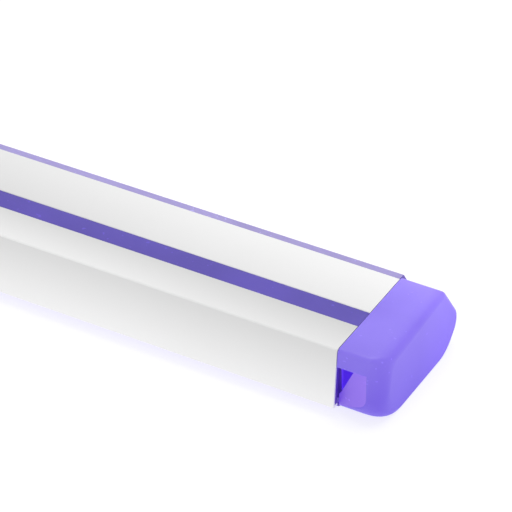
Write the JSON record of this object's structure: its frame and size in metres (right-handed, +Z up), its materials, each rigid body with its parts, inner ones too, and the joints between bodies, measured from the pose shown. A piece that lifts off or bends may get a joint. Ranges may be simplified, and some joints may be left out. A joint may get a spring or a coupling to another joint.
{
  "type": "led light tube",
  "caption": "Slim linear light: tinted translucent tube with a sloped side, white sheet covers with a tinted stripe between them, and rounded pull-off end caps with a cable notch.",
  "frame": {"origin": "under the middle of the tube, on the surface that it stands on", "axes": "+X along the tube, +Y from the white side wall to the sloped diffuser side, +Z up to the white mounting face"},
  "size_m": [0.6, 0.0752, 0.035],
  "materials": {
    "violet_diffuser": "frosted translucent violet",
    "violet_cap": "frosted translucent violet, softly moulded",
    "white_sheet": "satin white powder coat",
    "seal_rubber": "soft dark rubber",
    "tray_aluminium": "mill finish",
    "led_board_white": "white solder mask",
    "led_lens": "yellow phosphor",
    "connector_white": "nylon",
    "screw_steel": "zinc plated",
    "insulation_film": "clear film",
    "standoff_nylon": "nylon",
    "driver_laminate": "green glass laminate",
    "ferrite": "dark ferrite",
    "winding_tape": "yellow tape",
    "choke_copper": "ferrite drum in black sleeve",
    "capacitor_sleeve": "shrink sleeve",
    "rectifier_black": "black epoxy",
    "fuse_glass": "ceramic with plated ends",
    "terminal_white": "nylon",
    "button_orange": "nylon",
    "mains_insulation": "PVC",
    "earth_insulation": "PVC",
    "dc_insulation": "PVC"
  },
  "bodies": {
    "tube": {"diffuser_tube": "violet_diffuser", "top_cover_plate": "white_sheet", "side_cover": "white_sheet", "tray_grommet": "seal_rubber", "led_tray": "tray_aluminium", "led_board_left": "led_board_white", "led_board_right": "led_board_white", "led_chips": "led_lens", "board_link_connector": "connector_white", "tray_screws": "screw_steel", "board_screws": "screw_steel", "earth_screw": "screw_steel", "insulation_sheet": "insulation_film", "driver_standoffs": "standoff_nylon", "driver_board": "driver_laminate", "transformer_core": "ferrite", "transformer_winding": "winding_tape", "input_choke": "choke_copper", "input_capacitor": "capacitor_sleeve", "output_capacitor": "capacitor_sleeve", "bridge_rectifier": "rectifier_black", "fuse": "fuse_glass", "terminal_block": "terminal_white", "mains_leads": "mains_insulation", "earth_lead": "earth_insulation", "dc_leads": "dc_insulation"},
    "right_cap": {"right_end_cap": "violet_cap", "right_end_seal": "seal_rubber"},
    "left_cap": {"left_end_cap": "violet_cap", "left_end_seal": "seal_rubber"},
    "live_button": {"release_button_live": "button_orange"},
    "neutral_button": {"release_button_neutral": "button_orange"},
    "earth_button": {"release_button_earth": "button_orange"}
  },
  "joints": [
    {"name": "right_cap_slide", "type": "slide", "parent": "tube", "child": "right_cap", "axis": [1, 0, 0], "range_m": [0, 0.03]},
    {"name": "left_cap_slide", "type": "slide", "parent": "tube", "child": "left_cap", "axis": [-1, 0, 0], "range_m": [0, 0.03]},
    {"name": "live_button_press", "type": "slide", "parent": "tube", "child": "live_button", "axis": [0, 0, -1], "range_m": [0, 0.0012], "stiffness_N_per_m": 1500, "springref_m": -0.0006},
    {"name": "neutral_button_press", "type": "slide", "parent": "tube", "child": "neutral_button", "axis": [0, 0, -1], "range_m": [0, 0.0012], "stiffness_N_per_m": 1500, "springref_m": -0.0006},
    {"name": "earth_button_press", "type": "slide", "parent": "tube", "child": "earth_button", "axis": [0, 0, -1], "range_m": [0, 0.0012], "stiffness_N_per_m": 1500, "springref_m": -0.0006}
  ]
}
